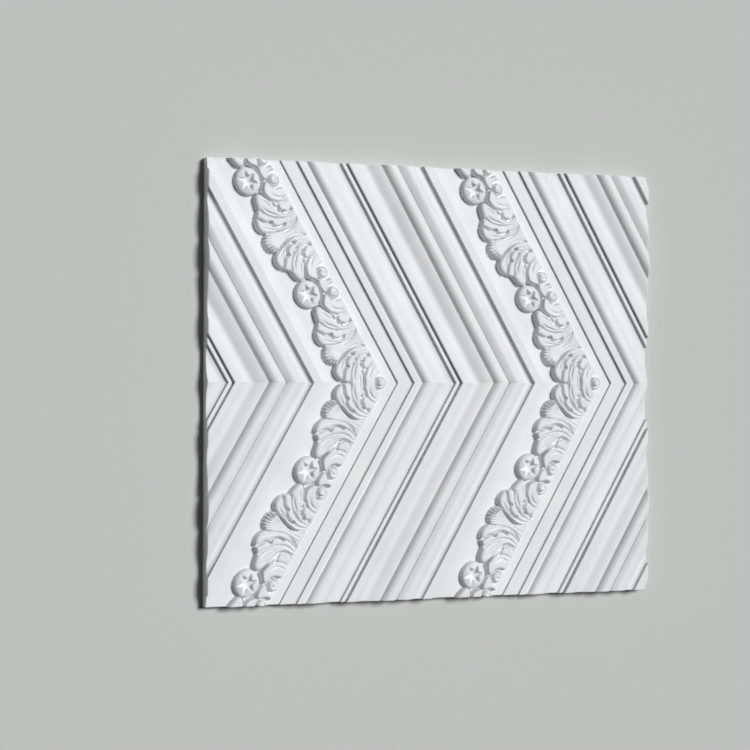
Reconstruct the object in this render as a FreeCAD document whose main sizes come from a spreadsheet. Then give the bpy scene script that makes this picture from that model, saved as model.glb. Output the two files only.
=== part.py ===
"""Moulded wall panel tile: chevron mouldings with a leaf garland on the ground between them.

The tile lies on its back. X runs across the chevrons, which point to +X, Y runs along the
mitred arms and Z stands out of the decorated face. The origin is the middle of the flat back.
"""
import FreeCAD, Part
import math
import os
import Sketcher
from FreeCAD import Placement, Rotation, Vector

NODE = "wall_panel_tile"

# Driving sizes: millimetres, and degrees for angles
SIZES = {
    # Tile
    "tile_width": 380.0,
    "tile_height": 340.0,
    "chevron_angle": 30.0,
    "chevron_count": 2,
    "apex_inset": 157.1,
    # Moulding section, from left to right across one chevron
    "band_height": 9.5,
    "band_width": 8.2,
    "band_cove_width": 3.0,
    "band_cove_height": 10.3,
    "band_cove_sag": 0.3,
    "step_height": 12.0,
    "step_width": 4.9,
    "bead_quirk_height": 9.8,
    "bead_quirk_width": 1.8,
    "bead_width": 7.0,
    "bead_height": 12.8,
    "bead_sag": 1.9,
    "fillet_height": 11.7,
    "fillet_width": 5.0,
    "hollow_width": 13.3,
    "hollow_height": 8.0,
    "hollow_sag": 2.4,
    "reed_height": 10.4,
    "reed_width": 2.5,
    "reed_groove_height": 8.8,
    "reed_groove_width": 1.4,
    "inner_list_height": 12.9,
    "inner_list_width": 5.7,
    "scotia_width": 9.5,
    "scotia_height": 10.6,
    "scotia_sag": 1.7,
    "shoulder_width": 8.2,
    "shoulder_height": 12.8,
    "shoulder_sag": 0.43,
    "quirk_height": 10.2,
    "quirk_width": 0.9,
    "torus_foot_height": 11.0,
    "torus_width": 11.9,
    "torus_rise": 3.9,
    "cyma_foot_height": 11.0,
    "cyma_width": 11.6,
    "cyma_height": 10.7,
    "cyma_sag": 2.0,
    "cove_width": 6.6,
    "cove_height": 11.2,
    "cove_sag": 1.5,
    "outer_list_height": 13.1,
    "outer_list_width": 6.7,
    "ground_cove_top": 10.5,
    "ground_cove_width": 9.2,
    "ground_cove_sag": 0.77,
    "ground_height": 7.5,
    # Garland: its axis on the ground, and the places of its leaves from the rosette's centre
    "garland_inset": 14.0,
    "garland_end": 22.8,
    "garland_trim": 1.2,
    "garland_repeats": 2,
    "rosette_inset": 17.2,
    "rosette_radius": 11.0,
    "rosette_wall": 2.0,
    "rosette_rise": 4.6,
    "star_reach": 8.8,
    "star_depth": 4.5,
    "star_flank": 34.0,
    "star_clearance": 1.0,
    "star_turn": 22.0,
    "star_rays": 6,
    "volute_across": 20.4,
    "volute_along": 9.6,
    "volute_radius": 4.7,
    "volute_sides": 12,
    "volute_rise": 4.6,
    "volute_eye_radius": 2.0,
    "volute_eye_sides": 8,
    "volute_eye_rise": 5.6,
    "shell_focus": 3.0,
    "shell_half_angle": 25.0,
    "shell_ribs": 7,
    "shell_rib_half_width": 1.2,
    "shell_rib_rise": 5.5,
    "shell_lip_radius": 16.8,
    "shell_lip_sink": 5.7,
    "shell_crest_radius": 12.6,
    "shell_crest_sink": 0.0,
    "shell_neck_radius": 3.0,
    "shell_neck_sink": 2.6,
    "stems": 4,
    "stem_half_width": 1.15,
    "stem_rise": 3.2,
    "stem_start": -1.0,
    "stem_start_spread": 2.2,
    "stem_start_sink": 0.4,
    "stem_middle": 13.0,
    "stem_middle_spread": 2.9,
    "stem_middle_sink": 0.0,
    "stem_end_spread": 6.0,
    "stem_end_sink": 0.2,
    # Lobes: where the section turns in, as shares of its half width and rise, and its depth in the ground
    "lobe_shoulder_reach": 0.65,
    "lobe_shoulder_rise": 0.75,
    "lobe_seat": 0.5,
}

# The section of one chevron: kind, width, height at its end, and an arc's sag with its bulge (1 up, -1 down)
SECTION = [
    ("rise", None, "band_height"),
    ("flat", "band_width", None),
    ("arc", "band_cove_width", "band_cove_height", "band_cove_sag", -1),
    ("rise", None, "step_height"),
    ("flat", "step_width", None),
    ("rise", None, "bead_quirk_height"),
    ("flat", "bead_quirk_width", None),
    ("arc", "bead_width", "bead_height", "bead_sag", 1),
    ("rise", None, "fillet_height"),
    ("flat", "fillet_width", None),
    ("arc", "hollow_width", "hollow_height", "hollow_sag", -1),
    ("rise", None, "reed_height"),
    ("flat", "reed_width", None),
    ("rise", None, "reed_groove_height"),
    ("flat", "reed_groove_width", None),
    ("rise", None, "inner_list_height"),
    ("flat", "inner_list_width", None),
    ("arc", "scotia_width", "scotia_height", "scotia_sag", -1),
    ("arc", "shoulder_width", "shoulder_height", "shoulder_sag", 1),
    ("rise", None, "quirk_height"),
    ("flat", "quirk_width", None),
    ("rise", None, "torus_foot_height"),
    ("arc", "torus_width", "torus_foot_height", "torus_rise", 1),
    ("rise", None, "quirk_height"),
    ("flat", "quirk_width", None),
    ("rise", None, "cyma_foot_height"),
    ("arc", "cyma_width", "cyma_height", "cyma_sag", 1),
    ("arc", "cove_width", "cove_height", "cove_sag", -1),
    ("rise", None, "outer_list_height"),
    ("flat", "outer_list_width", None),
    ("rise", None, "ground_cove_top"),
    ("arc", "ground_cove_width", "ground_height", "ground_cove_sag", -1),
]

# Leaves: half width and rise of the ridged section, then its path from tip to root: at each point its
# places across and along from the rosette's centre, and how deep the section sinks into the ground there
ROOT = "=Sizes.garland_end + Sizes.garland_trim"
LEAVES = {
    "LongLeaf": (6.2, 6.0, [
        (0.6, 11.4, 6.2), (1.6, 18.0, 0.0), (5.2, 26.8, 0.2), (11.0, 35.2, 1.2), (ROOT, 38.8, 2.6)]),
    "ShortLeaf": (4.8, 5.2, [(11.0, 7.4, 5.4), (12.6, 12.4, 0.5), (15.4, 18.2, 0.0), (ROOT, 22.0, 1.0)]),
    "FoldLeaf": (3.6, 5.1, [(-8.8, 24.2, 5.3), (-4.4, 27.4, 0.4), (5.6, 35.6, 0.3), (ROOT, 40.6, 1.6)]),
    "BroadLeaf": (4.9, 5.8, [(-10.4, 27.6, 6.0), (-6.4, 33.4, 0.0), (4.0, 41.2, 0.8), (ROOT, 42.4, 2.0)]),
    "Tongue": (4.6, 4.5, [(11.6, 31.0, 4.7), (15.6, 31.4, 0.0), (ROOT, 31.4, 0.6)]),
    "Bud": (6.0, 4.9, [(10.4, 0.0, 5.1), (14.6, 0.0, 0.0), (ROOT, 0.0, 0.8)]),
}
PATH_SIZES = ("across", "along", "sink")

ORIGIN = -1
START = 1
END = 2
CENTRE = 3
X_AXIS = -1
Y_AXIS = -2

doc = FreeCAD.newDocument("WallPanelTile")


def add_sheet(name, cells):
    """Spreadsheet with one named cell in each row."""
    sheet = doc.addObject("Spreadsheet::Sheet", name)
    for row, (alias, content) in enumerate(cells.items(), start=1):
        sheet.set("A%d" % row, alias)
        sheet.set("B%d" % row, str(content))
        sheet.setAlias("B%d" % row, alias)
    doc.recompute()
    return sheet


def size(name):
    """Expression that reads a driving size."""
    return "Sizes." + name


def worked_out_sizes():
    """Sizes that follow from the driving ones, as formulas."""
    mouldings = " + ".join(size(segment[1]) for segment in SECTION if segment[1])
    return {
        "pitch": "=Sizes.tile_width / Sizes.chevron_count",
        "pitch_across": "=pitch * cos(Sizes.chevron_angle * 1 deg)",
        "mouldings_across": "=" + mouldings,
        "first_step": "=(Sizes.apex_inset - Sizes.tile_width / 2) * cos(Sizes.chevron_angle * 1 deg)",
        "garland_axis": "=first_step + mouldings_across + Sizes.garland_inset",
        "garland_apex": "=garland_axis / cos(Sizes.chevron_angle * 1 deg)",
        "garland_drop": "=Sizes.tile_height / (2 * Sizes.garland_repeats)",
        "garland_pitch": "=garland_drop / cos(Sizes.chevron_angle * 1 deg)",
        "garland_root": ROOT,
        "arm_slope": "=tan(Sizes.chevron_angle * 1 deg)",
        "rosette_top": "=Sizes.rosette_wall + Sizes.rosette_rise",
        "dome_radius": "=(Sizes.rosette_radius^2 + Sizes.rosette_rise^2) / (2 * Sizes.rosette_rise)",
        "star_tip_drop": "=dome_radius - sqrt(dome_radius^2 - Sizes.star_reach^2)",
    }


def leaf_cells():
    """Cells for each leaf's cross-section and the points of its path."""
    cells = {}
    for name, (half_width, rise, path) in LEAVES.items():
        cells[name + "_half_width"] = half_width
        cells[name + "_rise"] = rise
        for number, point in enumerate(path):
            for what, value in zip(PATH_SIZES, point):
                cells["%s%d_%s" % (name, number, what)] = value
    return cells


add_sheet("Sizes", SIZES)
add_sheet("Leaves", leaf_cells())
derived = add_sheet("Derived", worked_out_sizes())


def plane(body, role):
    """One of a body's own origin planes or axes."""
    return next(item for item in body.Origin.OriginFeatures if item.Role == role)


def bind(item, expressions):
    """Ties an object's properties to the sheets."""
    for path, expression in expressions.items():
        item.setExpression(path, expression)


def bound(sketch, constraint, name, expression):
    """Adds a dimension to a sketch and ties it to the sheets."""
    index = sketch.addConstraint(constraint)
    sketch.renameConstraint(index, name)
    sketch.setExpression("Constraints." + name, expression)


def arc_radius(run, rise, sag):
    """Radius of the arc over a chord with this run and rise."""
    return ((run ** 2 + rise ** 2) / 4 + sag ** 2) / (2 * sag)


def sketch_arc(sketch, start, end, sag, bulge):
    """Arc from left to right; gives its index and the positions of its left and right ends."""
    run = end - start
    radius = arc_radius(run.x, run.y, sag)
    normal = Vector(-run.y, run.x, 0).normalize() * bulge
    middle = (start + end) * 0.5
    centre = middle + normal * (sag - radius)
    angles = [math.atan2(point.y - centre.y, point.x - centre.x) for point in (start, end)]
    if bulge > 0:
        angles.reverse()
    circle = Part.Circle(centre, Vector(0, 0, 1), radius)
    index = sketch.addGeometry(Part.ArcOfCircle(circle, angles[0], angles[1]), False)
    return (index, END, START) if bulge > 0 else (index, START, END)


def section_sketch(sketch):
    """Closed section of one chevron, from the foot of its first step to the next one's."""
    begin = Vector(derived.first_step - derived.pitch_across, 0, 0)
    point = begin
    foot = None
    last = None
    height = "0 mm"
    for number, segment in enumerate(SECTION):
        kind, width, end_height = segment[:3]
        target = Vector(point)
        if width:
            target.x += SIZES[width]
        if end_height:
            target.y = SIZES[end_height]
        if kind == "arc":
            sag, bulge = segment[3:]
            index, left, right = sketch_arc(sketch, point, target, SIZES[sag], bulge)
            run = "%s^2 + (%s - %s)^2" % (size(width), size(end_height), height)
            radius = "((%s) / 4 + %s^2) / (2 * %s)" % (run, size(sag), size(sag))
            value = arc_radius(target.x - point.x, target.y - point.y, SIZES[sag])
            bound(sketch, Sketcher.Constraint("Radius", index, value), "radius%d" % number, radius)
        else:
            index = sketch.addGeometry(Part.LineSegment(point, target), False)
            left, right = START, END
            sketch.addConstraint(Sketcher.Constraint("Vertical" if kind == "rise" else "Horizontal", index))
        if last is None:
            foot = (index, left)
        else:
            sketch.addConstraint(Sketcher.Constraint("Coincident", last[0], last[1], index, left))
        if width:
            span = Sketcher.Constraint("DistanceX", index, left, index, right, target.x - point.x)
            bound(sketch, span, "width%d" % number, size(width))
        if end_height:
            level = Sketcher.Constraint("DistanceY", ORIGIN, START, index, right, target.y)
            bound(sketch, level, "height%d" % number, size(end_height))
            height = size(end_height)
        last = (index, right)
        point = target
    close_section(sketch, begin, point, foot, last)


def close_section(sketch, begin, point, foot, last):
    """Flat ground to the end of the pitch, then down to the back and along it."""
    far = begin.x + derived.pitch_across
    corners = [point, Vector(far, point.y, 0), Vector(far, 0, 0), begin]
    lines = [sketch.addGeometry(Part.LineSegment(corners[n], corners[n + 1]), False) for n in range(3)]
    for kind, line in zip(("Horizontal", "Vertical", "Horizontal"), lines):
        sketch.addConstraint(Sketcher.Constraint(kind, line))
    joints = [last, (lines[0], START), (lines[0], END), (lines[1], START), (lines[1], END), (lines[2], START),
              (lines[2], END), foot]
    for near, next_one in zip(joints[::2], joints[1::2]):
        sketch.addConstraint(Sketcher.Constraint("Coincident", *near, *next_one))
    sketch.addConstraint(Sketcher.Constraint("PointOnObject", lines[2], END, X_AXIS))
    length = Sketcher.Constraint("DistanceX", lines[2], END, lines[2], START, derived.pitch_across)
    bound(sketch, length, "pitch", "Derived.pitch_across")
    place = Sketcher.Constraint("DistanceX", lines[2], END, ORIGIN, START, -begin.x)
    bound(sketch, place, "place", "Derived.pitch_across - Derived.first_step")


def make_mouldings():
    """Chevron arms of the upper half, side by side, as long as the tile needs before it is trimmed."""
    body = doc.addObject("PartDesign::Body", "Mouldings")
    sketch = body.newObject("Sketcher::SketchObject", "Section")
    sketch.AttachmentSupport = [(plane(body, "XZ_Plane"), "")]
    sketch.MapMode = "FlatFace"
    sketch.AttachmentOffset = Placement(Vector(), Rotation(Vector(0, 1, 0), SIZES["chevron_angle"]))
    sketch.setExpression("AttachmentOffset.Rotation.Angle", size("chevron_angle"))
    section_sketch(sketch)
    doc.recompute()
    arm = body.newObject("PartDesign::Pad", "Arm")
    arm.Profile = sketch
    arm.SideType = "Symmetric"
    arm.setExpression("Length", "2 * (Sizes.tile_width + Sizes.tile_height)")
    doc.recompute()
    row = body.newObject("PartDesign::LinearPattern", "ArmRow")
    row.Originals = [arm]
    row.Direction = (plane(body, "X_Axis"), [""])
    row.Mode = "Spacing"
    row.setExpression("Offset", "Derived.pitch")
    reach = SIZES["tile_width"] + SIZES["tile_height"] / 2 * derived.arm_slope
    row.Occurrences = math.ceil(reach / derived.pitch) + 1
    body.Tip = row
    doc.recompute()
    return body


def make_upper_half():
    """Block of the tile's upper half, to which the arms are trimmed."""
    block = doc.addObject("Part::Box", "UpperHalf")
    bind(block, {
        "Length": size("tile_width"),
        "Width": "Sizes.tile_height / 2",
        "Height": size("tile_width"),
        "Placement.Base.x": "-Sizes.tile_width / 2",
    })
    return block


def fuse(name, shapes, refine=False):
    """Joins solids into one."""
    joined = doc.addObject("Part::MultiFuse", name)
    joined.Shapes = shapes
    joined.Refine = refine
    return joined


def common(name, first, second):
    """What two solids share."""
    shared = doc.addObject("Part::MultiCommon", name)
    shared.Shapes = [first, second]
    return shared


def mirror(name, source):
    """Mirror image across the plane Y = 0."""
    image = doc.addObject("Part::Mirroring", name)
    image.Source = source
    image.Normal = Vector(0, 1, 0)
    return image


def copy_at(name, source, placement):
    """Copy of a solid with its place tied to the sheets."""
    link = doc.addObject("App::Link", name)
    link.LinkedObject = source
    bind(link, placement)
    return link


def closed_outline(sketch, corners):
    """Lines from corner to corner, each ending at its own corner; dimensions then set the corners' places."""
    lines = []
    for number, corner in enumerate(corners):
        lines.append(sketch.addGeometry(Part.LineSegment(corners[number - 1], corner), False))
    for near, after in zip(lines, lines[1:] + lines[:1]):
        sketch.addConstraint(Sketcher.Constraint("Coincident", near, END, after, START))
    return lines


def lobe_section(body, name, point, half_width, rise, direction):
    """Ridged cross-section on a short wall, square to the line from the lobe's tip to its root."""
    across, along, sink = point
    sketch = body.newObject("Sketcher::SketchObject", name)
    sketch.AttachmentSupport = [(plane(body, "XZ_Plane"), "")]
    sketch.MapMode = "FlatFace"
    sketch.AttachmentOffset = Placement(Vector(), Rotation(Vector(0, 1, 0), 1))
    bind(sketch, {
        "AttachmentOffset.Base.x": across,
        "AttachmentOffset.Base.y": "-(%s)" % sink,
        "AttachmentOffset.Base.z": "-(%s)" % along,
        "AttachmentOffset.Rotation.Angle": "360 deg - atan2(%s; %s)" % direction,
    })
    half = [Vector(-4, -1, 0), Vector(-4, 0, 0), Vector(-3, 2, 0), Vector(0, 3, 0)]
    lines = closed_outline(sketch, half + [Vector(-point.x, point.y, 0) for point in half[-2::-1]])
    for number in range(3):
        opposite = lines[len(lines) - 1 - number]
        sketch.addConstraint(Sketcher.Constraint("Symmetric", lines[number], END, opposite, END, Y_AXIS))
    for constraint in (("Vertical", lines[1]), ("PointOnObject", lines[1], END, X_AXIS),
                       ("PointOnObject", lines[3], END, Y_AXIS)):
        sketch.addConstraint(Sketcher.Constraint(*constraint))
    bound(sketch, Sketcher.Constraint("DistanceX", lines[1], END, lines[5], END, 8), "width",
          "2 * " + half_width)
    bound(sketch, Sketcher.Constraint("DistanceX", lines[2], END, lines[4], END, 6), "shoulder",
          "2 * Sizes.lobe_shoulder_reach * " + half_width)
    bound(sketch, Sketcher.Constraint("DistanceY", lines[0], END, ORIGIN, START, 1), "seat",
          size("lobe_seat"))
    bound(sketch, Sketcher.Constraint("DistanceY", ORIGIN, START, lines[2], END, 2), "shoulder_rise",
          "Sizes.lobe_shoulder_rise * " + rise)
    bound(sketch, Sketcher.Constraint("DistanceY", ORIGIN, START, lines[3], END, 3), "rise", rise)
    return sketch


def make_lobe(name, path, half_width, rise):
    """Lobe of a leaf: its cross-section run from point to point along its path, from tip to root."""
    body = doc.addObject("PartDesign::Body", name)
    direction = tuple("%s - (%s)" % (path[-1][n], path[0][n]) for n in range(2))
    for number, (near, far) in enumerate(zip(path[:-1], path[1:])):
        sketch = lobe_section(body, "%sSection%d" % (name, number), near, half_width, rise, direction)
        doc.recompute()
        across, along, fall = ["(%s - (%s))" % (far[n], near[n]) for n in range(3)]
        span = body.newObject("PartDesign::Pad", "%sSpan%d" % (name, number))
        span.Profile = sketch
        span.UseCustomVector = True
        span.AlongSketchNormal = False
        bind(span, {
            "Direction.x": across,
            "Direction.y": along,
            "Direction.z": "-" + fall,
            "Length": "sqrt(%s^2 + %s^2 + %s^2)" % (across, along, fall),
        })
        body.Tip = span
        doc.recompute()
    return body


def make_leaf(name):
    """Lobe whose cross-section and path are in the sheet of leaves."""
    cell = "Leaves." + name
    count = len(LEAVES[name][2])
    path = [tuple("%s%d_%s" % (cell, number, what) for what in PATH_SIZES) for number in range(count)]
    return make_lobe(name, path, cell + "_half_width", cell + "_rise")


def make_volute():
    """Small scroll: a many-sided drum with a raised eye."""
    place = {"Placement.Base.x": size("volute_across"), "Placement.Base.y": size("volute_along"),
             "Placement.Base.z": "-Sizes.lobe_seat"}
    drum = doc.addObject("Part::Prism", "VoluteDrum")
    bind(drum, {"Polygon": size("volute_sides"), "Circumradius": size("volute_radius"),
                "Height": "Sizes.volute_rise + Sizes.lobe_seat", **place})
    eye = doc.addObject("Part::Prism", "VoluteEye")
    bind(eye, {"Polygon": size("volute_eye_sides"), "Circumradius": size("volute_eye_radius"),
               "Height": "Sizes.volute_eye_rise + Sizes.lobe_seat", **place})
    return [drum, eye]


def dome_sketch(body):
    """Half section of the rosette: a wall under a round dome."""
    profile = body.newObject("Sketcher::SketchObject", "DomeProfile")
    profile.AttachmentSupport = [(plane(body, "XZ_Plane"), "")]
    profile.MapMode = "FlatFace"
    radius = SIZES["rosette_radius"]
    seat = -SIZES["lobe_seat"]
    wall = SIZES["rosette_wall"]
    top = wall + SIZES["rosette_rise"]
    ball = arc_radius(2 * radius, 0, SIZES["rosette_rise"])
    corners = [Vector(0, top, 0), Vector(0, seat, 0), Vector(radius, seat, 0), Vector(radius, wall, 0)]
    lines = [profile.addGeometry(Part.LineSegment(corners[n], corners[n + 1]), False) for n in range(3)]
    circle = Part.Circle(Vector(0, top - ball, 0), Vector(0, 0, 1), ball)
    dome = profile.addGeometry(Part.ArcOfCircle(circle, math.acos(radius / ball), math.pi / 2), False)
    for constraint in (
            ("Vertical", lines[0]), ("Horizontal", lines[1]), ("Vertical", lines[2]),
            ("Coincident", lines[0], END, lines[1], START),
            ("Coincident", lines[1], END, lines[2], START),
            ("Coincident", lines[2], END, dome, START),
            ("Coincident", dome, END, lines[0], START),
            ("PointOnObject", lines[0], START, Y_AXIS),
            ("PointOnObject", dome, CENTRE, Y_AXIS)):
        profile.addConstraint(Sketcher.Constraint(*constraint))
    bound(profile, Sketcher.Constraint("DistanceX", lines[1], START, lines[1], END, radius), "radius",
          size("rosette_radius"))
    bound(profile, Sketcher.Constraint("DistanceY", lines[1], START, ORIGIN, START, -seat), "seat",
          size("lobe_seat"))
    bound(profile, Sketcher.Constraint("DistanceY", ORIGIN, START, lines[2], END, wall), "wall",
          size("rosette_wall"))
    bound(profile, Sketcher.Constraint("DistanceY", ORIGIN, START, lines[0], START, top), "top",
          "Derived.rosette_top")
    return profile


def ray_sketch(body):
    """Notch of one ray of the star: a V across the ray, standing on the rosette's axis."""
    notch = body.newObject("Sketcher::SketchObject", "RayNotch")
    notch.AttachmentSupport = [(plane(body, "XZ_Plane"), "")]
    notch.MapMode = "FlatFace"
    notch.AttachmentOffset = Placement(Vector(), Rotation(Vector(0, 1, 0), 1))
    notch.setExpression("AttachmentOffset.Rotation.Angle", "270 deg + Sizes.star_turn * 1 deg")
    lines = closed_outline(notch, [Vector(0, 1, 0), Vector(3, 6, 0), Vector(-3, 6, 0)])
    notch.addConstraint(Sketcher.Constraint("Symmetric", lines[1], END, lines[2], END, Y_AXIS))
    notch.addConstraint(Sketcher.Constraint("PointOnObject", lines[0], END, Y_AXIS))
    bound(notch, Sketcher.Constraint("DistanceY", ORIGIN, START, lines[0], END, 1), "bottom",
          "Derived.rosette_top - Sizes.star_depth")
    bound(notch, Sketcher.Constraint("DistanceY", lines[0], END, lines[1], END, 5), "depth",
          "Sizes.star_depth + Sizes.star_clearance")
    bound(notch, Sketcher.Constraint("DistanceX", lines[2], END, lines[1], END, 6), "opening",
          "2 * (Sizes.star_depth + Sizes.star_clearance) * tan(Sizes.star_flank * 1 deg)")
    return notch


def make_rosette():
    """Round domed fruit with a sunk star, deepest in the middle, whose rays run out at their tips."""
    body = doc.addObject("PartDesign::Body", "Rosette")
    profile = dome_sketch(body)
    doc.recompute()
    turned = body.newObject("PartDesign::Revolution", "Dome")
    turned.Profile = profile
    turned.ReferenceAxis = (plane(body, "Z_Axis"), [""])
    turned.Angle = 360
    doc.recompute()
    notch = ray_sketch(body)
    doc.recompute()
    ray = body.newObject("PartDesign::Pocket", "StarRay")
    ray.Profile = notch
    ray.UseCustomVector = True
    ray.AlongSketchNormal = False
    bind(ray, {
        "Direction.x": "Sizes.star_reach * cos(Sizes.star_turn * 1 deg)",
        "Direction.y": "Sizes.star_reach * sin(Sizes.star_turn * 1 deg)",
        "Direction.z": "Sizes.star_depth - Derived.star_tip_drop",
        "Length": size("rosette_radius"),
    })
    doc.recompute()
    star = body.newObject("PartDesign::PolarPattern", "Star")
    star.Originals = [ray]
    star.Axis = (plane(body, "Z_Axis"), [""])
    star.Angle = 360
    star.setExpression("Occurrences", size("star_rays"))
    body.Tip = star
    doc.recompute()
    if not star.Shape.Volume < ray.Shape.Volume < turned.Shape.Volume:
        raise RuntimeError("the star isn't cut")
    return body


def make_shell():
    """Ribbed shell between two leaf fans, with the stems that run on from its neck."""
    middle = "Derived.garland_pitch / 2"
    parts = []
    for number in range(SIZES["shell_ribs"]):
        share = 2 * number / (SIZES["shell_ribs"] - 1) - 1
        angle = "(%.4f * Sizes.shell_half_angle * 1 deg)" % share
        path = []
        for part in ("lip", "crest", "neck"):
            radius = size("shell_%s_radius" % part)
            path.append(("Sizes.shell_focus - %s * cos%s" % (radius, angle),
                         "%s + %s * sin%s" % (middle, radius, angle), size("shell_%s_sink" % part)))
        rib = make_lobe("ShellRib%d" % number, path, size("shell_rib_half_width"), size("shell_rib_rise"))
        parts.append(rib)
    for number in range(SIZES["stems"]):
        share = 2 * number / (SIZES["stems"] - 1) - 1
        path = []
        places = {"start": size("stem_start"), "middle": size("stem_middle"), "end": "Derived.garland_root"}
        for part, across in places.items():
            along = "%s + %.4f * Sizes.stem_%s_spread" % (middle, share, part)
            path.append((across, along, size("stem_%s_sink" % part)))
        parts.append(make_lobe("Stem%d" % number, path, size("stem_half_width"), size("stem_rise")))
    return fuse("Shell", parts)


def make_garland():
    """One repeat of the garland about its rosette: X across the arm, Y along it, the right end cut."""
    names = ("LongLeaf", "ShortLeaf", "FoldLeaf", "BroadLeaf", "Tongue")
    fan = fuse("LeafFan", [make_leaf(name) for name in names] + make_volute())
    doc.recompute()
    other_fan = mirror("OtherLeafFan", fan)
    whole = fuse("WholeRepeat", [make_rosette(), make_leaf("Bud"), fan, other_fan, make_shell()])
    strip = doc.addObject("Part::Box", "GarlandStrip")
    bind(strip, {
        "Length": "2 * Sizes.garland_end",
        "Width": "2 * Derived.garland_pitch",
        "Height": "2 * Sizes.ground_height",
        "Placement.Base.x": "-Sizes.garland_end",
        "Placement.Base.y": "-Derived.garland_pitch",
        "Placement.Base.z": "-Sizes.ground_height / 2",
    })
    return common("GarlandRepeat", whole, strip)


def reaches_tile(number):
    """Whether the garland of a chevron, counted from the right, comes within the tile's sides."""
    slant = math.cos(math.radians(SIZES["chevron_angle"]))
    apex = derived.garland_apex - number * derived.pitch
    shell_reach = SIZES["shell_lip_radius"] - SIZES["shell_focus"]
    left = apex - shell_reach / slant - derived.arm_slope * SIZES["tile_height"] / 2
    right = apex + SIZES["garland_end"] / slant
    return left < SIZES["tile_width"] / 2 and right > -SIZES["tile_width"] / 2


def make_runs(repeat, block):
    """Garland along the upper arm of every chevron, each trimmed to the upper half of the tile."""
    copies = []
    for number in range(SIZES["garland_repeats"] + 1):
        level = "(Sizes.tile_height / 2 - Sizes.rosette_inset - %d * Derived.garland_drop)" % number
        link = doc.addObject("App::Link", "Repeat%d" % number)
        link.LinkedObject = repeat
        link.Placement = Placement(Vector(), Rotation(Vector(0, 0, 1), SIZES["chevron_angle"]))
        bind(link, {
            "Placement.Rotation.Angle": size("chevron_angle"),
            "Placement.Base.x": "Derived.garland_apex - Derived.arm_slope * " + level,
            "Placement.Base.y": level,
            "Placement.Base.z": size("ground_height"),
        })
        copies.append(link)
    strand = fuse("Strand", copies)
    runs = []
    for number in filter(reaches_tile, range(-1, SIZES["chevron_count"] + 1)):
        step = {"Placement.Base.x": "%d * Derived.pitch" % -number}
        shifted = copy_at("Strand%d" % (number + 1), strand, step)
        runs.append(common("GarlandRun%d" % (number + 1), shifted, block))
    doc.recompute()
    return [run for run in runs if run.Shape.Solids]


def check_document():
    """Stops if any object failed or any shape is empty or invalid."""
    for item in doc.Objects:
        if "Invalid" in item.State or "Error" in item.State:
            raise RuntimeError("%s failed: %s" % (item.Name, item.State))
    shape = doc.getObject("Tile").Shape
    if shape.isNull() or not shape.isValid() or len(shape.Solids) != 1:
        raise RuntimeError("the tile isn't one valid solid")


block = make_upper_half()
arms = common("UpperArms", make_mouldings(), block)
upper = fuse("UpperTile", [arms] + make_runs(make_garland(), block))
lower = mirror("LowerTile", upper)
tile = fuse("Tile", [upper, lower], refine=True)
tile.Label = NODE
doc.recompute()
check_document()

os.makedirs("parts", exist_ok=True)
tile.Shape.exportStep("parts/%s.step" % tile.Label)
box = tile.Shape.optimalBoundingBox()
print("%s: %.1f x %.1f x %.1f mm, %.1f cm3, %d faces" % (
    tile.Label, box.XLength, box.YLength, box.ZLength, tile.Shape.Volume / 1000, len(tile.Shape.Faces)))
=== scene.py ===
"""White moulded wall panel tile with chevron mouldings and leaf garlands, lying face up on a pale floor.

Shapes are worked out in millimetres in the tile's own frame, and become metres when the mesh is made.
Across an arm the distance is u, along it s. The upper half is made first, and the lower half mirrors it.
"""

import math

import bmesh
import bpy
import numpy as np
from mathutils import Matrix, Vector
from mathutils.geometry import delaunay_2d_cdt


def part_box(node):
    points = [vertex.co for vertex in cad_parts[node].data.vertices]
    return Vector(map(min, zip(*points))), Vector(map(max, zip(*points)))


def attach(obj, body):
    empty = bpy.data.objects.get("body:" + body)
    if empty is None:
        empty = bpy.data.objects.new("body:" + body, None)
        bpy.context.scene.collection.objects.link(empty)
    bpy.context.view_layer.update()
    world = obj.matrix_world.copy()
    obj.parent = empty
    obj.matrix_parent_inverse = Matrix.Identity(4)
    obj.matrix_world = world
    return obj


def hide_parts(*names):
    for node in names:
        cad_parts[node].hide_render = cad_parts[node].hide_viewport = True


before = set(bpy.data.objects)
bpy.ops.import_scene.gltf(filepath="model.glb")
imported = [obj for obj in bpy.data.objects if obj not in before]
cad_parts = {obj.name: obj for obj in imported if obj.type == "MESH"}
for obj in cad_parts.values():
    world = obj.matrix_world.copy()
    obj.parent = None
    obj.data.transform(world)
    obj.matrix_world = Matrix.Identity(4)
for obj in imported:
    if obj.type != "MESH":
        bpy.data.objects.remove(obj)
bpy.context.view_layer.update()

NODE = "wall_panel_tile"
MM = 0.001

# Tile: the size of its node, less a hair so that rounding never leaves the node's box
HAIR = 1e-4
low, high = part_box(NODE)
WIDTH = (high.x - low.x) / MM - HAIR
HEIGHT = (high.y - low.y) / MM - HAIR
HALF_WIDTH, HALF_HEIGHT = WIDTH / 2, HEIGHT / 2
GROUND = 7.5
EDGE_EASE = 0.5
EDGE_DROP = 0.35

# Tolerances: places that count as one, vertices that are welded, places that lie on a cut
SAME = 1e-6
SAME_DIGITS = 6
WELD = 1e-4
SNAP = 1e-3

# Chevrons
ARM_ANGLE = math.radians(30.0)
CHEVRONS = 2
APEX_INSET = 157.1
PITCH = WIDTH / CHEVRONS
COS, SIN, TAN = math.cos(ARM_ANGLE), math.sin(ARM_ANGLE), math.tan(ARM_ANGLE)
PITCH_ACROSS = PITCH * COS
FIRST_STEP = (APEX_INSET - HALF_WIDTH) * COS

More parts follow.
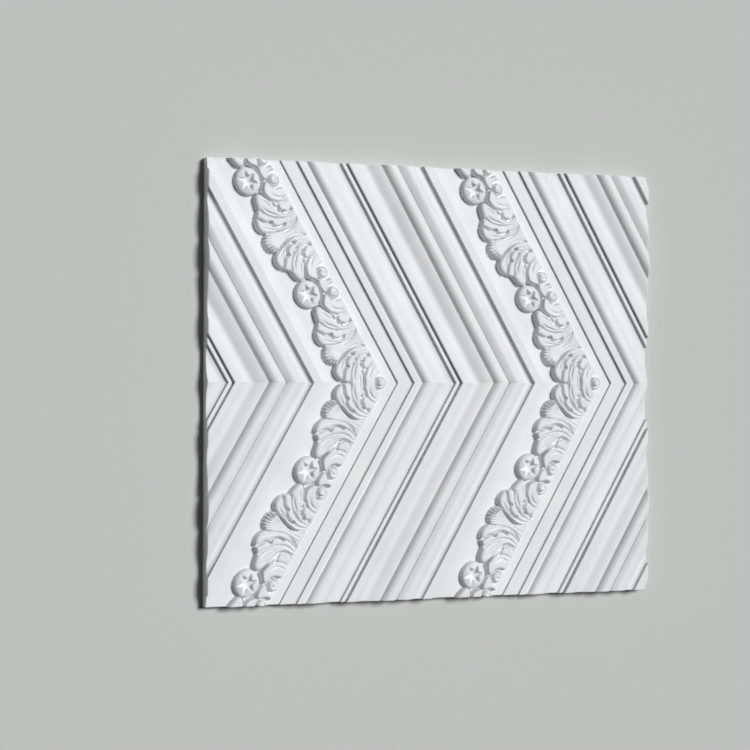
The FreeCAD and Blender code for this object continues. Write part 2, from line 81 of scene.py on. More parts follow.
# Section of one chevron from left to right: a rise to a height, a flat of a width,
# or an arc of a width to a height with its sag, which is negative for a hollow
SECTION = [
    ("rise", 9.5), ("flat", 8.2), ("arc", 3.0, 10.3, -0.3),
    ("rise", 12.0), ("flat", 4.9),
    ("rise", 9.8), ("flat", 1.8), ("arc", 7.0, 12.8, 1.9),
    ("rise", 11.7), ("flat", 5.0), ("arc", 13.3, 8.0, -2.4),
    ("rise", 10.4), ("flat", 2.5), ("rise", 8.8), ("flat", 1.4),
    ("rise", 12.9), ("flat", 5.7), ("arc", 9.5, 10.6, -1.7), ("arc", 8.2, 12.8, 0.43),
    ("rise", 8.6), ("flat", 1.0), ("rise", 9.9), ("arc", 11.8, 10.4, 4.7),
    ("rise", 9.0), ("flat", 1.0), ("rise", 10.4), ("arc", 11.5, 10.7, 2.5), ("arc", 6.6, 11.2, -1.7),
    ("rise", 13.1), ("flat", 6.7), ("rise", 10.5), ("arc", 9.2, GROUND, -0.77),
]
ARC_STEP = math.radians(7.0)

# Arrises: how far a corner is eased, the largest share of a side that this takes,
# the least turn that counts as a corner, and the turn from which an edge is shaded sharp
ARRIS = 0.3
ARRIS_SHARE = 0.35
CORNER = math.radians(35.0)
SHARP = math.radians(18.0)

# Garland: its axis across the arm, its repeat along it, and the margins of the fine mesh
GARLAND_INSET = 14.0
REPEATS = 2
ROSETTE_INSET = 17.2
REPEAT = HEIGHT / (2 * REPEATS) / COS
HALF_REPEAT = REPEAT / 2
MARGIN_LEFT = 14.0
MARGIN_RIGHT = 24.2

# Fine mesh: its step, the relief that counts as flat, the columns kept flat at each border,
# and the rows from one stop of a border to the next
MESH_STEP = 0.5
FLAT = 0.01
FLAT_COLUMNS = 2
BORDER_ROWS = 10

# Outlines of masses from the rosette's centre, as places across and along the arm
FAN_TOP = [(-11.2, 36.0), (-9.6, 39.0), (-7.4, 40.7), (-4.0, 41.6), (0.5, 43.4), (4.5, 44.9), (9.0, 45.8),
           (14.0, 45.7), (18.0, 44.3), (20.8, 42.2)]
FAN = [(0.8, 11.6), (-1.4, 12.4), (-3.0, 15.0), (-3.9, 18.6), (-4.4, 21.6), (-5.2, 23.4), (-6.8, 24.4),
       (-9.0, 26.4), (-10.9, 29.2), (-11.6, 32.6), *FAN_TOP, (22.8, 39.4), (23.3, 36.0), (23.3, 30.0),
       (23.3, 22.0), (22.9, 16.8), (20.5, 15.8), (17.2, 14.8), (14.9, 12.4), (14.0, 9.4), (13.4, 7.3),
       (11.6, 6.2), (9.6, 7.8), (7.4, 10.4), (6.2, 13.0), (6.6, 16.0), (7.6, 19.0), (8.6, 20.9), (8.2, 20.7),
       (6.8, 18.2), (5.2, 15.2), (3.8, 12.8), (2.4, 11.6)]
SHELL = [(-7.6, 40.9), (-10.6, 42.9), (-12.2, 45.8), (-12.7, 49.1)]
NECK = [(-4.0, 41.9), (0.5, 43.7), (4.5, 45.2), (9.0, 46.1), (14.0, 46.0), (18.0, 44.6), (20.8, 42.5),
        (23.2, 39.6)]
BUD_SIDE = [(10.9, 0.0), (11.2, 3.4), (12.4, 5.8), (14.4, 5.8), (15.9, 4.7), (17.2, 3.4), (18.6, 2.4),
            (20.6, 2.0), (23.3, 1.8)]
BUD = BUD_SIDE + [(across, -along) for across, along in BUD_SIDE[:0:-1]]

# Folds that swell from a leaf mass: lift, width of their rounded flanks, outline
FOLDS = {
    "long": (3.6, 3.0, [
        (0.8, 11.6), (-1.4, 12.4), (-3.0, 15.0), (-3.9, 18.6), (-4.4, 21.4), (-4.7, 22.7), (-2.4, 24.4),
        (0.6, 29.0), (4.7, 33.4), (8.7, 36.2), (13.7, 38.1), (18.7, 38.0), (23.3, 37.2), (23.3, 35.6),
        (17.0, 35.2), (13.0, 33.8), (11.0, 31.4), (9.6, 28.2), (9.0, 25.0), (8.8, 21.8), (8.1, 20.5),
        (6.7, 18.2), (5.1, 15.2), (3.7, 12.8), (2.4, 11.6)]),
    "upper": (3.0, 2.0, [
        (-5.1, 23.1), (-6.4, 24.6), (-8.3, 26.6), (-5.8, 29.7), (-3.8, 32.6), (-1.3, 34.3), (0.8, 34.9),
        (0.5, 36.8), (1.6, 38.8), (4.2, 40.6), (7.2, 41.4), (9.8, 41.4), (13.0, 42.2), (18.0, 41.4),
        (23.3, 38.6), (23.3, 37.4), (18.7, 38.2), (13.7, 38.3), (8.7, 36.4), (4.7, 33.6), (0.6, 29.2),
        (-2.4, 24.6)]),
    "broad": (3.2, 2.6, [
        (-8.5, 26.8), (-10.5, 29.2), (-11.4, 32.6), *FAN_TOP, (23.1, 39.0), (18.0, 41.6), (13.0, 42.4),
        (9.8, 41.6), (7.2, 41.6), (4.2, 40.8), (1.6, 39.0), (0.4, 36.9), (0.7, 35.0), (-1.3, 34.5),
        (-3.8, 32.8), (-5.8, 29.9)]),
    "short": (3.4, 1.6, [
        (7.4, 10.4), (9.6, 7.8), (11.6, 6.2), (13.4, 7.0), (14.0, 9.4), (14.9, 12.4), (17.2, 14.8),
        (20.5, 15.8), (23.3, 16.6), (23.3, 26.0), (17.6, 26.0), (13.6, 24.6), (10.4, 22.0), (8.4, 20.4),
        (7.0, 17.0), (6.2, 13.4)]),
    "tongue": (3.2, 1.8, [
        (11.7, 27.2), (11.9, 30.2), (13.4, 33.2), (17.0, 34.8), (20.0, 34.2), (23.3, 35.0), (23.3, 26.4),
        (18.6, 26.4), (14.2, 25.4), (12.6, 25.4)]),
    "drop": (2.8, 1.4, [
        (9.6, 22.0), (11.0, 22.9), (12.1, 25.2), (11.2, 26.9), (9.8, 26.4), (9.2, 24.2)]),
}

# Incised lines: across, along, half width, depth; each takes at most a share of the relief it meets
LINES = {
    "long_vein": [
        (-0.6, 21.4, 0.5, 0.0), (1.8, 26.8, 0.9, 1.3), (5.4, 30.8, 0.9, 1.3), (9.2, 34.0, 0.5, 0.1)],
    "long_vein_2": [
        (1.6, 16.6, 0.5, 0.0), (4.0, 20.6, 0.9, 1.1), (6.0, 25.0, 0.5, 0.0)],
    "short_vein": [
        (11.6, 16.6, 0.5, 0.3), (14.0, 20.6, 1.0, 1.9), (17.4, 22.8, 1.0, 1.9), (21.4, 22.8, 0.5, 0.1)],
    "lower_hook": [
        (-8.6, 26.6, 1.0, 2.4), (-5.8, 29.8, 0.8, 2.4), (-3.8, 32.7, 0.8, 2.6), (-1.3, 34.4, 0.9, 3.2),
        (0.9, 34.8, 1.1, 4.2)],
    "upper_hook": [
        (0.5, 36.6, 0.9, 2.6), (1.7, 38.9, 0.8, 2.4), (4.2, 40.7, 0.9, 2.8), (7.2, 41.5, 1.0, 3.4),
        (9.5, 41.2, 1.3, 4.4)],
    "broad_vein": [
        (-7.2, 35.9, 0.5, 0.0), (-4.0, 38.5, 0.8, 1.2), (-0.2, 41.0, 0.8, 1.2), (3.8, 43.1, 0.5, 0.0)],
    "crease": [
        (-5.6, 41.2, 0.8, 2.0), (0.5, 43.5, 0.8, 2.6), (4.5, 45.0, 0.8, 2.6), (9.0, 45.9, 0.8, 2.6),
        (14.0, 45.8, 0.8, 2.4), (18.0, 44.4, 0.8, 2.2), (20.8, 42.3, 0.7, 1.8), (23.0, 39.7, 0.6, 1.2)],
    "tongue_line": [
        (11.5, 29.8, 0.9, 2.0), (12.2, 32.0, 1.0, 3.4), (13.6, 32.3, 0.9, 2.8), (14.4, 31.5, 0.7, 1.6)],
    "tongue_line_2": [
        (13.8, 31.9, 0.7, 1.6), (15.4, 33.8, 1.0, 3.4), (18.0, 34.3, 0.9, 3.0), (20.2, 33.4, 0.9, 2.6),
        (20.6, 31.8, 0.6, 0.6)],
    "stem_line": [
        (3.0, 49.1, 0.4, 0.1), (8.0, 49.1, 0.6, 1.0), (16.0, 49.1, 0.6, 1.0), (22.5, 49.1, 0.4, 0.2)],
    "stem_line_2": [
        (3.0, 47.4, 0.4, 0.1), (8.0, 47.1, 0.6, 1.0), (15.0, 46.9, 0.6, 1.0), (20.0, 45.6, 0.5, 0.8),
        (22.8, 43.4, 0.4, 0.2)],
    "scroll": [
        (18.6, 8.9, 0.5, 0.4), (19.4, 7.5, 0.7, 1.6), (20.9, 7.3, 0.7, 1.9), (21.9, 8.9, 0.7, 1.9),
        (21.4, 11.0, 0.7, 2.0), (19.4, 12.2, 0.8, 2.6), (17.2, 12.0, 0.9, 3.4), (15.8, 10.8, 0.9, 3.6)],
}
LINE_SHARE = 0.8

# Deep gaps between masses: across, along, half width, depth; they are sunk where relief is under a level
GAPS = {
    "leaves": [
        (3.0, 11.9, 0.8, 1.5), (5.0, 13.4, 1.2, 4.0), (5.9, 16.4, 0.8, 4.0), (7.9, 20.0, 0.5, 2.0)],
    "rosette": [
        (10.5, 0.0, 0.7, 3.5), (10.3, 3.4, 0.7, 3.5), (8.8, 7.2, 0.8, 3.5), (6.0, 10.4, 1.0, 3.5)],
    "scroll": [
        (16.6, 14.2, 0.6, 1.5), (14.9, 11.6, 0.8, 3.5), (14.6, 8.6, 0.8, 2.4), (15.6, 5.4, 0.8, 1.2),
        (17.8, 3.6, 0.6, 0.8)],
}
GAP_LEVEL = 0.5

# Steps from one point of an outline to the next, and samples along a whole line
OUTLINE_STEPS = 6
LINE_SAMPLES = 64

# Leaf mass: its rise, its rounded edge, and the share that it loses over a span towards its root
MASS_RISE = 2.6
MASS_EDGE = 0.8
ROOT_FALL = 0.25
ROOT_SPAN = (8.0, 24.0)

# Rosette: a slightly oval dome on a low wall, with a star sunk into it
ROSETTE_RADIUS = 10.7
ROSETTE_OVAL = (1.07, 0.95)
ROSETTE_RISE = 6.5
ROSETTE_WALL = 3.2
STAR_RAYS = 6
STAR_TURN = math.radians(22.0)
STAR_REACH = 9.2
STAR_DEPTH = 5.4
STAR_TAPER = 0.36
STAR_EDGE = 0.6

# Bud beside the rosette, and the scroll on each side of the bud with the power that squares its dome
BUD_RISE = 5.0
BUD_EDGE = 1.5
SCROLL = (19.6, 9.0)
SCROLL_REACH = (4.3, 4.9)
SCROLL_RISE = 5.2
SCROLL_POWER = 0.18

# Shell halfway between rosettes, or a shift away from there along the arm: ribs spread from a focus and
# stems run on to the right. It rises over a span from the focus and is fluted over another, and its edge
# grows rounder over a span across
SHELL_SHIFT = 1.2
SHELL_FOCUS = 3.0
SHELL_HALF_ANGLE = math.radians(27.0)
SHELL_RIBS = 5
STEM_RISE = 3.3
SHELL_LIFT = 2.8
SHELL_LIFT_SPAN = (3.0, 12.5)
STEM_EDGE = 1.5
SHELL_EDGE = 1.0
SHELL_EDGE_SPAN = (-4.0, -9.0)
FLUTE_SPAN = (7.5, 11.5)
FLUTE_DEPTH = 0.65
FLUTE_POWER = 4

# Finish: stops of the colour, and the noise's scale and detail for colour, roughness and bump
TINTS = ((0.3, (0.80, 0.805, 0.815, 1)), (0.7, (0.86, 0.864, 0.872, 1)))
TINT_NOISE = (38.0, 5.0)
ROUGHNESS = (0.42, 0.56)
ROUGHNESS_NOISE = (160.0, 4.0)
BUMP_STRENGTH = 0.08
BUMP_DISTANCE = 0.0002
BUMP_NOISE = (1400.0, 3.0)
SPECULAR = 0.35

# Floor, in metres, a little under the tile's back
FLOOR_REACH = 4.0
FLOOR_LEVEL = -0.0002
FLOOR_COLOUR = (0.60, 0.61, 0.60, 1)
FLOOR_ROUGHNESS = 0.9
FLOOR_SPECULAR = 0.1

# Light
SURROUND_COLOUR = (1.0, 1.0, 1.0, 1)
SURROUND_STRENGTH = 0.03
KEY_STRENGTH = 2.95
KEY_SPREAD = math.radians(20.0)
KEY_AZIMUTH = math.radians(35.0)
KEY_ELEVATION = math.radians(62.0)

# Camera: lens and sensor in millimetres, place in metres, and the directions of its right and its up
CAMERA_LENS = 97.63
CAMERA_SENSOR = 36.0
CAMERA_PLACE = Vector((-0.66122, 0.0, 1.47428))
CAMERA_RIGHT = Vector((0.92346, 0.00246, 0.38369))
CAMERA_UP = Vector((-0.00372, 0.99999, 0.00253))


def arc_points(start, end, sag):
    """Points along an arc from start to end that bulges up by sag, without its start."""
    run = np.subtract(end, start)
    chord = np.hypot(*run)
    turn = 4 * math.atan2(abs(sag), chord / 2)
    count = max(2, math.ceil(turn / ARC_STEP))
    t = np.arange(1, count + 1) / count
    radius = (chord ** 2 / 4 + sag ** 2) / (2 * abs(sag))
    swing = turn * (t - 0.5)
    along = chord / 2 + radius * np.sin(swing)
    rise = math.copysign(1, sag) * radius * (np.cos(swing) - math.cos(turn / 2))
    direction = run / chord
    normal = np.array([-direction[1], direction[0]])
    return np.asarray(start) + along[:, None] * direction + rise[:, None] * normal


def soften(points):
    """Rounds the sharp corners of an open line of points."""
    result = [points[0]]
    for before, here, after in zip(points[:-2], points[1:-1], points[2:]):
        back, ahead = before - here, after - here
        back_length, ahead_length = np.hypot(*back), np.hypot(*ahead)
        cosine = np.dot(back, ahead) / (back_length * ahead_length)
        if math.pi - math.acos(max(-1.0, min(1.0, cosine))) < CORNER:
            result.append(here)
            continue
        reach = min(ARRIS, ARRIS_SHARE * back_length, ARRIS_SHARE * ahead_length)
        first = here + back / back_length * reach
        second = here + ahead / ahead_length * reach
        middle_of_curve = 0.25 * (first + second) + 0.5 * here
        result += [first, middle_of_curve, second]
    result.append(points[-1])
    return np.array(result)


def section_line():
    """Section of one chevron as (u, z) from the foot of its first step, and the width of its mouldings."""
    points = [np.array([0.0, GROUND])]
    for kind, *sizes in SECTION:
        here = points[-1]
        if kind == "rise":
            points.append(np.array([here[0], sizes[0]]))
        elif kind == "flat":
            points.append(here + (sizes[0], 0))
        else:
            points += list(arc_points(here, here + (sizes[0], sizes[1] - here[1]), sizes[2]))
    mouldings = points[-1][0]
    points.append(np.array([PITCH_ACROSS, GROUND]))
    return soften(np.array(points)), mouldings


SECTION_LINE, MOULDINGS = section_line()
GARLAND_AXIS = FIRST_STEP + MOULDINGS + GARLAND_INSET


def between(a, b, c, d, t):
    """Catmull-Rom curve from b to c, with a before it and d after it."""
    square, cube = 2 * a - 5 * b + 4 * c - d, 3 * b - a - 3 * c + d
    return 0.5 * (2 * b + (c - a) * t + square * t ** 2 + cube * t ** 3)


def open_line(points):
    """Smooth line through rows of numbers, sampled evenly between them."""
    points = np.asarray(points, float)
    padded = np.vstack([2 * points[0] - points[1], points, 2 * points[-1] - points[-2]])
    place = np.linspace(0, len(points) - 1, LINE_SAMPLES)
    index = np.minimum(place.astype(int), len(points) - 2)
    t = (place - index)[:, None]
    return between(*(padded[index + k] for k in range(4)), t)


def closed_line(points):
    """Smooth closed line through points."""
    points = np.asarray(points, float)
    t = np.arange(OUTLINE_STEPS)[:, None] / OUTLINE_STEPS
    pieces = []
    for number in range(len(points)):
        corners = [points[(number + k - 1) % len(points)] for k in range(4)]
        pieces.append(between(*corners, t))
    return np.vstack(pieces)


def smooth(low_edge, high_edge, value):
    """Eased step from 0 to 1."""
    t = np.clip((value - low_edge) / (high_edge - low_edge), 0, 1)
    return t * t * (3 - 2 * t)


def rounded(depth, width):
    """Quarter round from 0 at an outline to 1 at a distance in from it."""
    return np.sqrt(1 - (1 - np.clip(depth / width, 0, 1)) ** 2)


def depth_inside(across, along, points):
    """Distance in from a smooth closed outline, 0 outside it."""
    line = closed_line(points)
    nearest = np.full_like(across, np.inf)
    inside = np.zeros(across.shape, bool)
    for start, end in zip(line, np.roll(line, -1, axis=0)):
        run = end - start
        off_b, off_a = across - start[0], along - start[1]
        share = np.clip((off_b * run[0] + off_a * run[1]) / (run @ run), 0, 1)
        np.minimum(nearest, (off_b - share * run[0]) ** 2 + (off_a - share * run[1]) ** 2, out=nearest)
        if run[1]:
            crossing = (start[1] > along) != (end[1] > along)
            inside ^= crossing & (off_b < off_a / run[1] * run[0])
    return np.where(inside, np.sqrt(nearest), 0)


def line_depth(across, along, rows):
    """Rounded groove along a line."""
    depth = np.zeros_like(across)
    for b, a, half_width, deep in open_line(rows):
        inside = 1 - ((across - b) ** 2 + (along - a) ** 2) / half_width ** 2
        np.maximum(depth, deep * np.clip(inside, 0, None), out=depth)
    return depth


def fan_height(across, along):
    """Leaf mass with its folds."""
    depth = depth_inside(across, along, FAN)
    fall = 1 - ROOT_FALL * smooth(*ROOT_SPAN, across)
    lift = np.zeros_like(across)
    for rise, width, outline in FOLDS.values():
        np.maximum(lift, rise * rounded(depth_inside(across, along, outline), width), out=lift)
    return fall * (MASS_RISE * rounded(depth, MASS_EDGE) + lift * (depth > 0))


def rosette_height(across, side):
    """Dome with a sunk star; side tells which way along the arm the point lies."""
    across, side = across * ROSETTE_OVAL[0], side * ROSETTE_OVAL[1]
    radius = np.hypot(across, side)
    share = np.clip(1 - (radius / ROSETTE_RADIUS) ** 2, 0, None)
    wall = ROSETTE_WALL * rounded(np.clip(ROSETTE_RADIUS - radius, 0, None), MASS_EDGE)
    dome = wall + (ROSETTE_RISE - ROSETTE_WALL) * np.sqrt(share)
    tip = ROSETTE_WALL + (ROSETTE_RISE - ROSETTE_WALL) * math.sqrt(1 - (STAR_REACH / ROSETTE_RADIUS) ** 2)
    pit = ROSETTE_RISE - STAR_DEPTH
    floor = pit + (tip - pit) * radius / STAR_REACH
    spacing = 2 * math.pi / STAR_RAYS
    turn = (np.arctan2(side, across) - STAR_TURN + spacing / 2) % spacing - spacing / 2
    inside = STAR_TAPER * (STAR_REACH - radius * np.cos(turn)) - radius * np.abs(np.sin(turn))
    return dome - np.clip(dome - floor, 0, None) * np.clip(inside / STAR_EDGE, 0, 1)


def scroll_height(across, along):
    """Small round scroll."""
    off_b, off_a = (across - SCROLL[0]) / SCROLL_REACH[0], (along - SCROLL[1]) / SCROLL_REACH[1]
    return SCROLL_RISE * np.clip(1 - off_b ** 2 - off_a ** 2, 0, None) ** SCROLL_POWER


def shell_height(across, along):
    """Ribbed shell with the stems that run on from it to the right."""
    outline = SHELL + [(b, 2 * HALF_REPEAT - a) for b, a in SHELL[-2::-1]]
    outline += [(b, 2 * HALF_REPEAT - a) for b, a in NECK] + NECK[::-1]
    depth = depth_inside(across, along, outline)
    left = SHELL_FOCUS - across
    off = HALF_REPEAT - along
    radius = np.hypot(left, off)
    turn = np.arctan2(off, np.maximum(left, SAME)) / SHELL_HALF_ANGLE
    fluted = smooth(*FLUTE_SPAN, radius) * (left > 0)
    flute = np.cos(turn * SHELL_RIBS * math.pi / 2) ** FLUTE_POWER
    crest = STEM_RISE + SHELL_LIFT * smooth(*SHELL_LIFT_SPAN, radius) * (left > 0)
    edge = STEM_EDGE + SHELL_EDGE * smooth(*SHELL_EDGE_SPAN, across)
    return crest * rounded(depth, edge) * (1 - FLUTE_DEPTH * flute * fluted)


def relief(across, s):
    """Height of the garland over the ground, from the distance across its axis and along the arm."""
    first = (HALF_HEIGHT - ROSETTE_INSET - GARLAND_AXIS * SIN) / COS
    side = s - first
    side = side + SHELL_SHIFT * np.sin(math.pi * side / REPEAT) ** 2
    side = (side + HALF_REPEAT) % REPEAT - HALF_REPEAT
    along = np.abs(side)
    height = np.maximum(fan_height(across, along), shell_height(across, along))
    np.maximum(height, BUD_RISE * rounded(depth_inside(across, side, BUD), BUD_EDGE), out=height)
    np.maximum(height, scroll_height(across, along), out=height)
    for rows in LINES.values():
        height -= np.minimum(line_depth(across, along, rows), LINE_SHARE * height)
    height = np.maximum(height, rosette_height(across, side))
    for rows in GAPS.values():
        height -= line_depth(across, along, rows) * (height < GAP_LEVEL)
    return height


# Kinds of face, kept as material numbers until the arrises are marked
PLAIN, RAISED, GROUND_FILL = 0, 1, 2


class Surface:
    """Vertices and faces of the upper half of the tile's face."""

    def __init__(self):
        self.vertices = []
        self.faces = []
        self.kinds = []

    def add_vertices(self, points):
        """Adds points and gives their numbers."""
        start = len(self.vertices)
        self.vertices += [tuple(point) for point in points]
        return list(range(start, len(self.vertices)))

    def add_face(self, corners, kind=PLAIN):
        """Adds a face by the numbers of its corners."""
        self.faces.append(corners)
        self.kinds.append(kind)


def add_garland(surface, axis):
    """One garland run on its flat ground; gives its left and right border with their places across."""
    count = round((MARGIN_LEFT + MARGIN_RIGHT) / MESH_STEP)
    rows = round(HALF_HEIGHT / MESH_STEP)
    u = axis + np.linspace(-MARGIN_LEFT, MARGIN_RIGHT, count + 1)
    y = np.linspace(0, HALF_HEIGHT, rows + 1)
    grid_u, grid_y = np.meshgrid(u, y)
    grid_s = (grid_y - (grid_u - axis + GARLAND_AXIS) * SIN) / COS
    height = relief(grid_u - axis, grid_s)
    height[:, :FLAT_COLUMNS] = height[:, -FLAT_COLUMNS:] = 0
    raised = np.abs(height) > FLAT
    cells = raised[:-1, :-1] | raised[1:, :-1] | raised[:-1, 1:] | raised[1:, 1:]
    kept = np.zeros(height.shape, bool)
    for shift_row in (0, 1):
        for shift_column in (0, 1):
            kept[shift_row:rows + shift_row, shift_column:count + shift_column] |= cells
    stops = list(range(0, rows - 1, BORDER_ROWS)) + [rows - 1, rows]
    kept[stops, 0] = kept[stops, count] = True
    points = np.stack([grid_u / COS - grid_y * TAN, grid_y, GROUND + height], -1)
    index = np.full(height.shape, -1)
    index[kept] = surface.add_vertices(points[kept])
    for row, column in zip(*np.nonzero(cells)):
        lower, upper = index[row, column:column + 2], index[row + 1, column:column + 2]
        surface.add_face((int(lower[0]), int(lower[1]), int(upper[1]), int(upper[0])), RAISED)
    fill_ground(surface, index, cells, stops)
    left, right = index[stops, 0].tolist(), index[stops, count].tolist()
    return (u[0], left), (u[-1], right)


def fill_ground(surface, index, cells, stops):
    """Few flat faces over the ground between the raised cells and the borders of a run."""
    rows, count = cells.shape
    framed = np.pad(cells, 1)
    edges = []
    for row, column in zip(*np.nonzero(framed[:-1, 1:-1] != framed[1:, 1:-1])):
        edges.append(((row, column), (row, column + 1)))
    for row, column in zip(*np.nonzero(framed[1:-1, :-1] != framed[1:-1, 1:])):
        edges.append(((row, column), (row + 1, column)))
    border = [(stop, count) for stop in stops] + [(stop, 0) for stop in reversed(stops)]
    edges += list(zip(border, border[1:] + border[:1]))
    places = sorted({place for edge in edges for place in edge})
    number = {place: n for n, place in enumerate(places)}
    flat = [Vector((float(column), float(row))) for row, column in places]
    links = [(number[start], number[end]) for start, end in edges]
    whole_hull = 0
    filled = delaunay_2d_cdt(flat, links, [], whole_hull, SAME)
    spots, triangles, sources = filled[0], filled[2], filled[3]
    for triangle in triangles:
        middle = sum((spots[corner] for corner in triangle), Vector((0, 0))) / 3
        if not cells[min(int(middle.y), rows - 1), min(int(middle.x), count - 1)]:
            found = [places[sources[corner][0]] for corner in triangle]
            surface.add_face(tuple(int(index[place]) for place in found), GROUND_FILL)


def add_column(surface, u, z):
    """Vertices at both ends of an arm's line within the tile, or one where it only touches a corner."""
    across = u / COS
    lowest = max(0.0, (across - HALF_WIDTH) / TAN)
    highest = min(HALF_HEIGHT, (across + HALF_WIDTH) / TAN)
    ends = [lowest] if highest - lowest < SAME else [lowest, highest]
    return surface.add_vertices([(across - y * TAN, y, z) for y in ends])


def in_section_order(points, line):
    """Points from left to right, in the section's own order where several share one place across."""
    rank = {}
    for number, point in enumerate(line):
        rank.setdefault(tuple(point), number)
    return sorted(points, key=lambda point: (round(point[0], SAME_DIGITS), rank.get(point, -1)))


def add_mouldings(surface, line, corners, left, right):
    """Plain lengths of moulding between two stops, each the tile's corner or a garland's border."""
    (first, left_border), (last, right_border) = left, right
    inner = line[(line[:, 0] > first + SAME) & (line[:, 0] < last - SAME)]
    extra = [first, last] + [u for u in corners if first < u < last]
    added = [(u, np.interp(u, line[:, 0], line[:, 1])) for u in extra]
    points = in_section_order([tuple(point) for point in inner] + added, line)
    borders = {0: left_border, len(points) - 1: right_border}
    columns = [borders.get(number) or add_column(surface, u, z) for number, (u, z) in enumerate(points)]
    for before, after in zip(columns[:-1], columns[1:]):
        surface.add_face(tuple(before[:1] + after + before[:0:-1]))


def build_surface():
    """Upper half of the decorated face."""
    surface = Surface()
    line = np.array([point + (FIRST_STEP + number * PITCH_ACROSS, 0)
                     for number in range(-1, CHEVRONS + 1) for point in SECTION_LINE])
    corners = [(x + y * TAN) * COS for x in (-HALF_WIDTH, HALF_WIDTH) for y in (0, HALF_HEIGHT)]
    axes = [GARLAND_AXIS - number * PITCH_ACROSS for number in reversed(range(CHEVRONS))]
    borders = [border for axis in axes for border in add_garland(surface, axis)]
    stops = [(corners[0], None)] + borders + [(corners[-1], None)]
    for left, right in zip(stops[::2], stops[1::2]):
        add_mouldings(surface, line, corners, left, right)
    return surface


def build_tile():
    """Closed mesh of the whole tile."""
    surface = build_surface()
    points = np.array(surface.vertices)
    count = len(points)
    mirrored = points * (1, -1, 1)
    faces = surface.faces + [tuple(index + count for index in reversed(face)) for face in surface.faces]
    mesh = bpy.data.meshes.new(NODE)
    mesh.from_pydata(np.vstack([points, mirrored]).tolist(), [], faces)
    mesh.polygons.foreach_set("material_index", np.array(surface.kinds * 2, dtype=np.int32))
    tile = bmesh.new()
    tile.from_mesh(mesh)
    bmesh.ops.remove_doubles(tile, verts=tile.verts, dist=WELD)
    ease_edges(tile)
    mark_arrises(tile)
    close_back(tile)
    bmesh.ops.recalc_face_normals(tile, faces=tile.faces)
    tile.to_mesh(mesh)
    tile.free()
    mesh.transform(Matrix.Scale(MM, 4))
    return mesh


def ease_edges(tile):
    """Takes the sharpness off the rim of the face."""
    for axis, half in ((Vector((1, 0, 0)), HALF_WIDTH), (Vector((0, 1, 0)), HALF_HEIGHT)):
        for sign in (1, -1):
            everything = tile.verts[:] + tile.edges[:] + tile.faces[:]
            cut = axis * sign * (half - EDGE_EASE)
            bmesh.ops.bisect_plane(tile, geom=everything, dist=SNAP, plane_co=cut, plane_no=axis)
    for vertex in tile.verts:
        if vertex.is_boundary:
            vertex.co.z -= EDGE_DROP


def along_a_cut(edge):
    """True on the mitre and on the lines where the rim's easing starts."""
    middle = (edge.verts[0].co + edge.verts[1].co) / 2
    run = edge.verts[1].co - edge.verts[0].co
    on_mitre = abs(middle.y) < WELD and abs(run.y) < WELD
    on_side = abs(abs(middle.x) - (HALF_WIDTH - EDGE_EASE)) < SNAP and abs(run.x) < SNAP
    on_end = abs(abs(middle.y) - (HALF_HEIGHT - EDGE_EASE)) < SNAP and abs(run.y) < SNAP
    return on_mitre or on_side or on_end


def mark_arrises(tile):
    """Smooth faces and flat ground, with sharp edges where plain faces turn a corner or meet at a cut."""
    for face in tile.faces:
        face.smooth = face.material_index != GROUND_FILL
    for edge in tile.edges:
        if len(edge.link_faces) == 2 and not any(face.material_index == RAISED for face in edge.link_faces):
            edge.smooth = edge.calc_face_angle() < SHARP and not along_a_cut(edge)
    for face in tile.faces:
        face.material_index = PLAIN


def walk_rim(tile):
    """Vertices round the rim of the face in order, from its corner at the lowest x and y and back to it."""
    beside = {}
    for edge in tile.edges:
        if edge.is_boundary:
            first, second = edge.verts
            beside.setdefault(first, []).append(second)
            beside.setdefault(second, []).append(first)
    ring = [min(beside, key=lambda vertex: vertex.co.x + vertex.co.y)]
    ring.append(beside[ring[0]][0])
    while ring[-1] is not ring[0]:
        ring.append(next(vertex for vertex in beside[ring[-1]] if vertex is not ring[-2]))
    return ring


def close_back(tile):
    """Four side walls down to the back, and the flat back."""
    ring = walk_rim(tile)
    turns = [number for number, vertex in enumerate(ring)
             if abs(abs(vertex.co.x) - HALF_WIDTH) < SNAP and abs(abs(vertex.co.y) - HALF_HEIGHT) < SNAP]
    base = [tile.verts.new((ring[turn].co.x, ring[turn].co.y, 0)) for turn in turns[:-1]]
    walls = []
    for number, (start, end) in enumerate(zip(turns[:-1], turns[1:])):
        foot = [base[(number + 1) % len(base)], base[number]]
        walls.append(tile.faces.new(ring[start:end + 1] + foot))
    walls.append(tile.faces.new(base))
    for wall in walls:
        wall.smooth = False
        for edge in wall.edges:
            edge.smooth = False


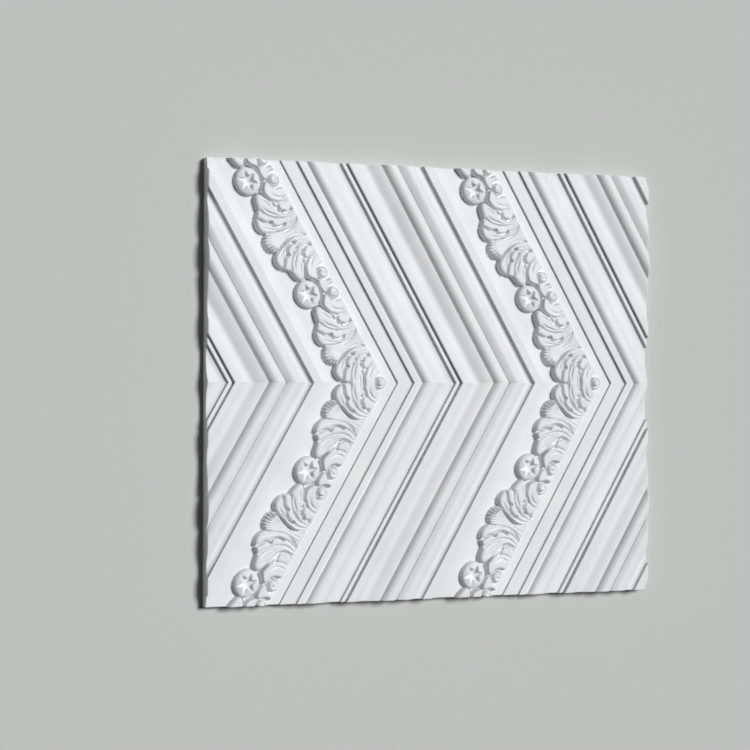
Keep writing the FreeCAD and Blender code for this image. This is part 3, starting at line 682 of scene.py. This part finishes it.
def primed_white():
    """Smooth white primer: very fine grain in colour, gloss and surface."""
    material = bpy.data.materials.new("primed_white")
    material.use_nodes = True
    nodes, links = material.node_tree.nodes, material.node_tree.links
    shader = nodes["Principled BSDF"]
    place = nodes.new("ShaderNodeTexCoord")

    def noise(scale, detail):
        texture = nodes.new("ShaderNodeTexNoise")
        texture.inputs["Scale"].default_value = scale
        texture.inputs["Detail"].default_value = detail
        links.new(place.outputs["Object"], texture.inputs["Vector"])
        return texture.outputs["Fac"]

    tint = nodes.new("ShaderNodeValToRGB")
    for stop, (position, colour) in zip(tint.color_ramp.elements, TINTS):
        stop.position = position
        stop.color = colour
    links.new(noise(*TINT_NOISE), tint.inputs["Fac"])
    links.new(tint.outputs["Color"], shader.inputs["Base Color"])
    gloss = nodes.new("ShaderNodeMapRange")
    gloss.inputs["To Min"].default_value, gloss.inputs["To Max"].default_value = ROUGHNESS
    links.new(noise(*ROUGHNESS_NOISE), gloss.inputs["Value"])
    links.new(gloss.outputs["Result"], shader.inputs["Roughness"])
    bump = nodes.new("ShaderNodeBump")
    bump.inputs["Strength"].default_value = BUMP_STRENGTH
    bump.inputs["Distance"].default_value = BUMP_DISTANCE
    links.new(noise(*BUMP_NOISE), bump.inputs["Height"])
    links.new(bump.outputs["Normal"], shader.inputs["Normal"])
    shader.inputs["Specular IOR Level"].default_value = SPECULAR
    return material


def make_floor():
    """Plain pale floor."""
    mesh = bpy.data.meshes.new("floor")
    signs = ((-1, -1), (1, -1), (1, 1), (-1, 1))
    corners = [(x * FLOOR_REACH, y * FLOOR_REACH, FLOOR_LEVEL) for x, y in signs]
    mesh.from_pydata(corners, [], [(0, 1, 2, 3)])
    floor = bpy.data.objects.new("floor", mesh)
    bpy.context.scene.collection.objects.link(floor)
    material = bpy.data.materials.new("floor")
    material.use_nodes = True
    shader = material.node_tree.nodes["Principled BSDF"]
    shader.inputs["Base Color"].default_value = FLOOR_COLOUR
    shader.inputs["Roughness"].default_value = FLOOR_ROUGHNESS
    shader.inputs["Specular IOR Level"].default_value = FLOOR_SPECULAR
    mesh.materials.append(material)


def make_light():
    """Soft key light from the upper right, with a faint white surround."""
    world = bpy.data.worlds.new("surround")
    bpy.context.scene.world = world
    world.use_nodes = True
    background = world.node_tree.nodes["Background"]
    background.inputs["Color"].default_value = SURROUND_COLOUR
    background.inputs["Strength"].default_value = SURROUND_STRENGTH
    key = bpy.data.lights.new("key", "SUN")
    key.energy = KEY_STRENGTH
    key.angle = KEY_SPREAD
    lamp = bpy.data.objects.new("key", key)
    level = math.cos(KEY_ELEVATION)
    towards = Vector((math.cos(KEY_AZIMUTH) * level, math.sin(KEY_AZIMUTH) * level, math.sin(KEY_ELEVATION)))
    lamp.rotation_euler = towards.to_track_quat("Z", "Y").to_euler()
    bpy.context.scene.collection.objects.link(lamp)


def make_camera():
    """The photograph's view, square on to the tile's height and from the left."""
    data = bpy.data.cameras.new("camera")
    data.sensor_width = CAMERA_SENSOR
    data.lens = CAMERA_LENS
    camera = bpy.data.objects.new("camera", data)
    back = CAMERA_RIGHT.cross(CAMERA_UP)
    turned = Matrix((CAMERA_RIGHT, CAMERA_UP, back)).transposed().to_4x4()
    camera.matrix_world = Matrix.Translation(CAMERA_PLACE) @ turned
    bpy.context.scene.collection.objects.link(camera)
    bpy.context.scene.camera = camera


mesh = build_tile()
tile = bpy.data.objects.new("moulded_tile", mesh)
bpy.context.scene.collection.objects.link(tile)
mesh.materials.append(primed_white())
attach(tile, "root")
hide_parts(NODE)

make_floor()
make_light()
make_camera()
bpy.context.scene.view_settings.view_transform = "Standard"
